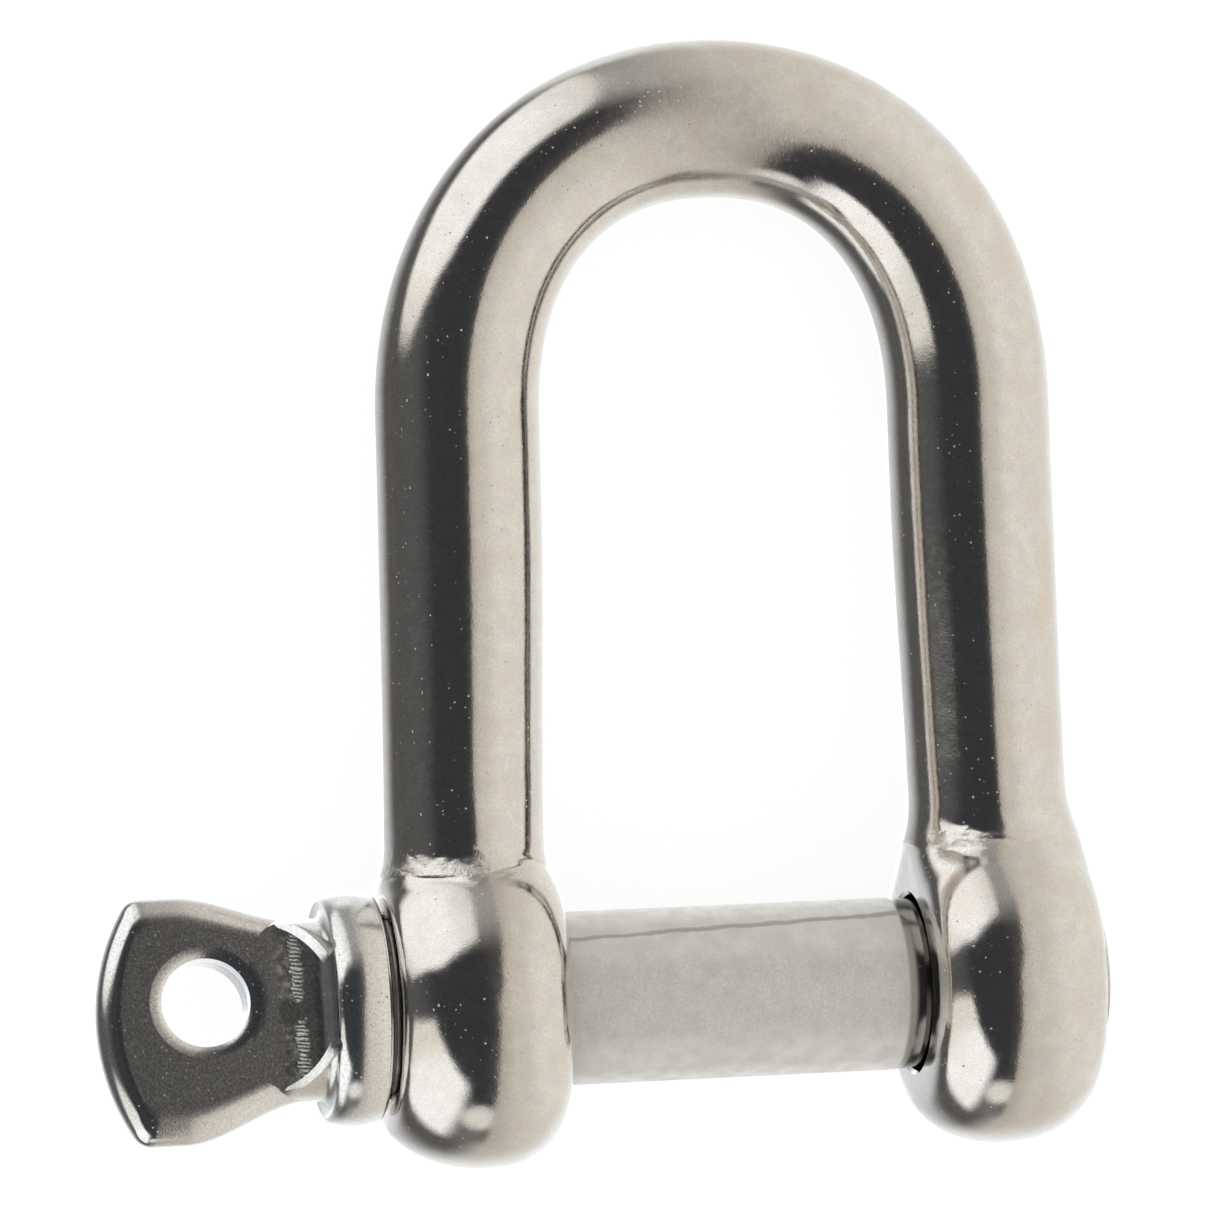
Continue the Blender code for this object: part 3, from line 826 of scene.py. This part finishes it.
# %% Satin steel of the shank, brighter collar and a dull, freckled head
satin, tree, shader = new_metal("satin_steel_pin", (0.6, 0.59, 0.56), 0.3)
at = dee_coordinates(tree)
across, along, out = split_place(tree, at)
ground = both(tree, ramp(tree, across, COLLAR_RIGHT / MM, COLLAR_RIGHT / MM + 0.3),
              ramp(tree, across, taper_start / MM + 0.4, taper_start / MM + 0.1))
facing = add(tree, "VectorMath", operation="DOT_PRODUCT")
feed(tree, facing.inputs[0], add(tree, "TexCoord").outputs["Normal"])
facing.inputs[1].default_value = DEE_PLACE.to_3x3() @ Vector((0, math.sin(HEAD_TURN), math.cos(HEAD_TURN)))
on_flats = ramp(tree, maths(tree, "ABSOLUTE", facing.outputs["Value"]), 0.955, 0.998)
head = ramp(tree, across, COLLAR_LEFT / MM - 0.1, COLLAR_LEFT / MM - 0.3)
blade_part = ramp(tree, across, COLLAR_LEFT / MM - 2.4, COLLAR_LEFT / MM - 3.0)
flats = both(tree, on_flats, head)
forged = both(tree, on_flats, blade_part)

# the flats are serrated in two short stretches near their round end, smeared towards the hole
slanted = maths(tree, "ADD", across, maths(tree, "MULTIPLY", along, 0.035))
ragged = maths(tree, "MULTIPLY", maths(tree, "SUBTRACT", noise(tree, at, 1.8, 3.0), 0.5), 0.9)
slanted = maths(tree, "ADD", slanted, ragged)
stretch = maths(tree, "ABSOLUTE", maths(tree, "SUBTRACT", along, 0.1))
stretch = maths(tree, "ABSOLUTE", maths(tree, "SUBTRACT", stretch, 2.45))
stretch = both(tree, ramp(tree, maths(tree, "ADD", stretch, ragged), 2.1, 1.5), flats)
serrated = both(tree, near_line(tree, slanted, -25.74, 0.4), stretch)
cloudy = ramp(tree, noise(tree, at, 2.2, 4.0), 0.3, 0.8)
smeared = both(tree, near_line(tree, slanted, -26.3, 0.9), stretch, cloudy)
phase = maths(tree, "ADD", maths(tree, "MULTIPLY", along, 27.0), maths(tree, "MULTIPLY", across, 3.0))
phase = maths(tree, "ADD", phase, maths(tree, "MULTIPLY", noise(tree, at, 1.7, 4.0), 9.0))
ridges = both(tree, ramp(tree, maths(tree, "SINE", phase), -0.8, 1.0), serrated)

mottle = ramp(tree, noise(tree, at, 7.0, 4.0), 0.35, 0.65)
head_tone = mix(tree, mottle, (0.66, 0.655, 0.645, 1), (0.78, 0.775, 0.76, 1))
flat_tone = mix(tree, mottle, (0.33, 0.335, 0.335, 1), (0.5, 0.5, 0.495, 1))
flat_tone = mix(tree, smeared, flat_tone, (0.7, 0.7, 0.68, 1))
head_tone = mix(tree, flats, head_tone, flat_tone)
head_tone = mix(tree, ridges, head_tone, (0.95, 0.95, 0.93, 1))
patches = ramp(tree, noise(tree, at, 0.9, 5.0), 0.3, 0.7)
# painted shade and highlight: the shank is darker along its middle and paler towards its upper and lower sides, with
# a painted highlight band along both edges
painted_paler_sides = ramp(tree, maths(tree, "ABSOLUTE", along), 1.2, 4.3)
ground_tone = mix(tree, painted_paler_sides, (0.55, 0.54, 0.51, 1), (0.74, 0.727, 0.69, 1))
ground_tone = mix(tree, ramp(tree, maths(tree, "ABSOLUTE", along), 3.9, 4.8), ground_tone, (0.95, 0.94, 0.9, 1))
ground_tone = mix(tree, maths(tree, "MULTIPLY", mottle, 0.35), ground_tone, (0.8, 0.79, 0.75, 1))
ground_tone = mix(tree, maths(tree, "MULTIPLY", patches, 0.3), ground_tone, (0.42, 0.41, 0.39, 1))
# painted reflection: a thin dark line along the upper side of the shank, where the steel mirrors a dark part of the
# studio
painted_reflection_line = maths(tree, "MULTIPLY", noise(tree, at, 0.8, 2.0), 0.25)
painted_reflection_line = maths(tree, "ADD", maths(tree, "MULTIPLY", across, 0.032), painted_reflection_line)
painted_reflection_line = near_line(tree, maths(tree, "SUBTRACT", along, painted_reflection_line), 3.8, 0.16)
painted_reflection_line = both(tree, painted_reflection_line, ground, ramp(tree, out, 0.0, 1.0))
ground_tone = mix(tree, maths(tree, "MULTIPLY", painted_reflection_line, 0.6), ground_tone, (0.25, 0.25, 0.24, 1))
steel_tone = mix(tree, ground, head_tone, ground_tone)
inner_face = EYE_INNER_FACE / MM
# painted shade: the shank is darker where it enters the tapped eye, the eye's shade and dark reflection painted into
# its tone
painted_shade_by_eye = both(tree, ramp(tree, across, inner_face - 1.4, inner_face - 1.1),
               ramp(tree, across, inner_face + 1.2, inner_face + 0.8))
feed(tree, shader.inputs["Base Color"], mix(tree, painted_shade_by_eye, steel_tone, (0.3, 0.295, 0.28, 1)))
face_of_collar = ramp(tree, maths(tree, "ABSOLUTE", out), 5.4, 4.6)
face_of_collar = both(tree, near_line(tree, across, COLLAR_LEFT / MM, 0.5), face_of_collar)
rubbed = maths(tree, "MULTIPLY", maths(tree, "MAXIMUM", smeared, face_of_collar), 0.2)
rubbed = maths(tree, "MAXIMUM", maths(tree, "MULTIPLY", ridges, 0.4), rubbed)
feed(tree, shader.inputs["Metallic"], ramp(tree, maths(tree, "MAXIMUM", ground, rubbed), 0, 1, 1.0, 0.35))
dull = maths(tree, "ADD", maths(tree, "MULTIPLY", ground, 0.28), maths(tree, "MULTIPLY", forged, 0.08))
dull = maths(tree, "ADD", dull, maths(tree, "MULTIPLY", rubbed, 0.5))
feed(tree, shader.inputs["Roughness"], maths(tree, "ADD", dull, 0.13))
grained = raise_surface(tree, noise(tree, at, 11.0, 3.0), 0.0035)
pits = use(tree, specks, Place=at, Size=4.0, Share=0.35)["Mask"]
pitted = raise_surface(tree, pits, 0.04, grained, inward=True)
feed(tree, shader.inputs["Normal"], raise_surface(tree, ridges, 0.05, pitted))
pin.data.materials.clear()
pin.data.materials.append(satin)

# %% [markdown]
# ## The studio
# Polished steel has no colour of its own to speak of: it looks like what stands around it. The reflections in the
# photograph show a dark card round the camera, grey and pale walls behind the shackle, two cream panels on the left,
# one high and one low, and a beige panel on the right. They are drawn as soft-edged panels in the world, seen only by
# glossy rays, while everything else gets even white light.

# %% Panels that the steel mirrors
world = bpy.data.worlds.new("studio")
bpy.context.scene.world = world
world.use_nodes = True
tree = world.node_tree
tree.nodes.clear()
place = add(tree, "TexCoord")
turn = add(tree, "VectorRotate", rotation_type="X_AXIS")
feed(tree, turn.inputs["Vector"], place.outputs["Generated"])
turn.inputs["Angle"].default_value = REST_TILT
direction = turn.outputs[0]
X, Y, Z = split_place(tree, direction)
STEEL = (0.66, 0.63, 0.59)


def seen(r, g, b):
    """Light of a panel that the polished steel shows in this colour."""
    colour = srgb(r, g, b)
    return tuple(c / s for c, s in zip(colour, STEEL)) + (1.0,)


def side_of(normal, at, softness):
    """Mask of all directions on one side of a straight soft edge."""
    dot = add(tree, "VectorMath", operation="DOT_PRODUCT")
    feed(tree, dot.inputs[0], direction)
    dot.inputs[1].default_value = Vector(normal).normalized()
    return ramp(tree, dot.outputs["Value"], at - softness, at + softness)


grey = mix(tree, ramp(tree, Z, -0.58, -0.98), seen(82, 79, 75), seen(190, 190, 188))
pale = mix(tree, ramp(tree, Y, -0.4, -1.0), seen(218, 215, 209), seen(190, 184, 173))
back = mix(tree, side_of((1, 0.12, 0), -0.09, 0.2), grey, pale)

card = mix(tree, ramp(tree, X, -0.1, 0.08), seen(50, 50, 51), seen(68, 65, 63))
card = mix(tree, ramp(tree, X, -0.72, -1.0), card, seen(78, 77, 75))
card = mix(tree, both(tree, ramp(tree, Y, -0.7, -0.9), ramp(tree, Z, 0.35, -0.3)), card, seen(104, 101, 97))
card = mix(tree, ramp(tree, Y, 0.62, 0.96), card, seen(144, 140, 133))
behind = maths(tree, "ADD", Z, maths(tree, "MULTIPLY", ramp(tree, Y, 0.5, 0.85), 0.22))
light = mix(tree, ramp(tree, behind, -0.21, -0.45), card, back)

foot = maths(tree, "SUBTRACT", Y, maths(tree, "MULTIPLY", X, 0.1))
foot = maths(tree, "SUBTRACT", foot, maths(tree, "MULTIPLY", ramp(tree, Z, 0.0, 0.6), 0.2))
upper = both(
    tree,
    side_of((-0.345, 0.611, -0.714), 0.08, 0.08), side_of((-1, 0, 0), 0.15, 0.035),
    side_of((0, 0.42, 1), -0.16, 0.07), ramp(tree, foot, 0.27, 0.37),
)
cream = mix(tree, ramp(tree, Y, 0.5, 0.25), seen(236, 232, 225), seen(214, 207, 196))
light = mix(tree, upper, light, mix(tree, ramp(tree, X, -0.5, -0.12), cream, seen(208, 202, 193)))

lower = both(
    tree,
    side_of((-0.522, -0.299, -0.80), -0.05, 0.05), side_of((-1, 0, 0), 0.27, 0.09),
    side_of((0.098, -0.734, 0.669), 0.06, 0.06), side_of((0, 0, 1), -0.36, 0.08), side_of((0, -1, 0), 0.13, 0.06),
)
cream = mix(tree, ramp(tree, Y, -0.6, -0.3), seen(238, 234, 228), seen(214, 208, 196))
light = mix(tree, lower, light, cream)
light = mix(tree, side_of((-0.06, -0.99, 0.1), 0.983, 0.014), light, seen(210, 205, 194))

beige = mix(tree, ramp(tree, X, 0.08, 0.3), seen(170, 161, 149), seen(192, 183, 170))
beige = mix(tree, ramp(tree, X, 0.3, 0.75), beige, seen(211, 203, 190))
lean = maths(tree, "MULTIPLY", both(tree, ramp(tree, Y, 0.0, 0.35), ramp(tree, Y, 0.95, 0.8)), 0.06)
lean = maths(tree, "SUBTRACT", X, lean)
light = mix(tree, ramp(tree, lean, 0.06, 0.1), light, mix(tree, side_of((0, 0, -1), 0.6, 0.25), beige, back))
light = mix(tree, side_of((0.12, 0.16, -1), 0.94, 0.04), light, (1.6, 1.6, 1.6, 1))

# %% Glossy rays see the panels, all others plain white
rays = add(tree, "LightPath")
light = mix(tree, rays.outputs["Is Glossy Ray"], (1, 1, 1, 1), light)
background = add(tree, "Background")
feed(tree, background.inputs["Color"], light)
output = add(tree, "OutputWorld")
tree.links.new(background.outputs[0], output.inputs["Surface"])
world.cycles.sampling_method = "NONE"

# %% Lay a pale floor
put_down()
bpy.ops.mesh.primitive_plane_add(size=1.6)
floor = named("floor")
floor.visible_glossy = False
paper = bpy.data.materials.new("white_paper")
paper.use_nodes = True
tree = paper.node_tree
shader = tree.nodes["Principled BSDF"]
shader.inputs["Base Color"].default_value = (0.25, 0.25, 0.25, 1)
shader.inputs["Roughness"].default_value = 0.9
shader.inputs["Specular IOR Level"].default_value = 0.0
rays = add(tree, "LightPath")
feed(tree, shader.inputs["Emission Strength"], maths(tree, "MULTIPLY", rays.outputs["Is Camera Ray"], 0.84))
shader.inputs["Emission Color"].default_value = (1, 1, 1, 1)
floor.data.materials.append(paper)
bpy.context.scene.view_settings.view_transform = "Standard"

# %% Hand the pieces to the frame
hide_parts("shackle_body")
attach(body, "body")
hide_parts("screw_pin")
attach(pin, "pin")
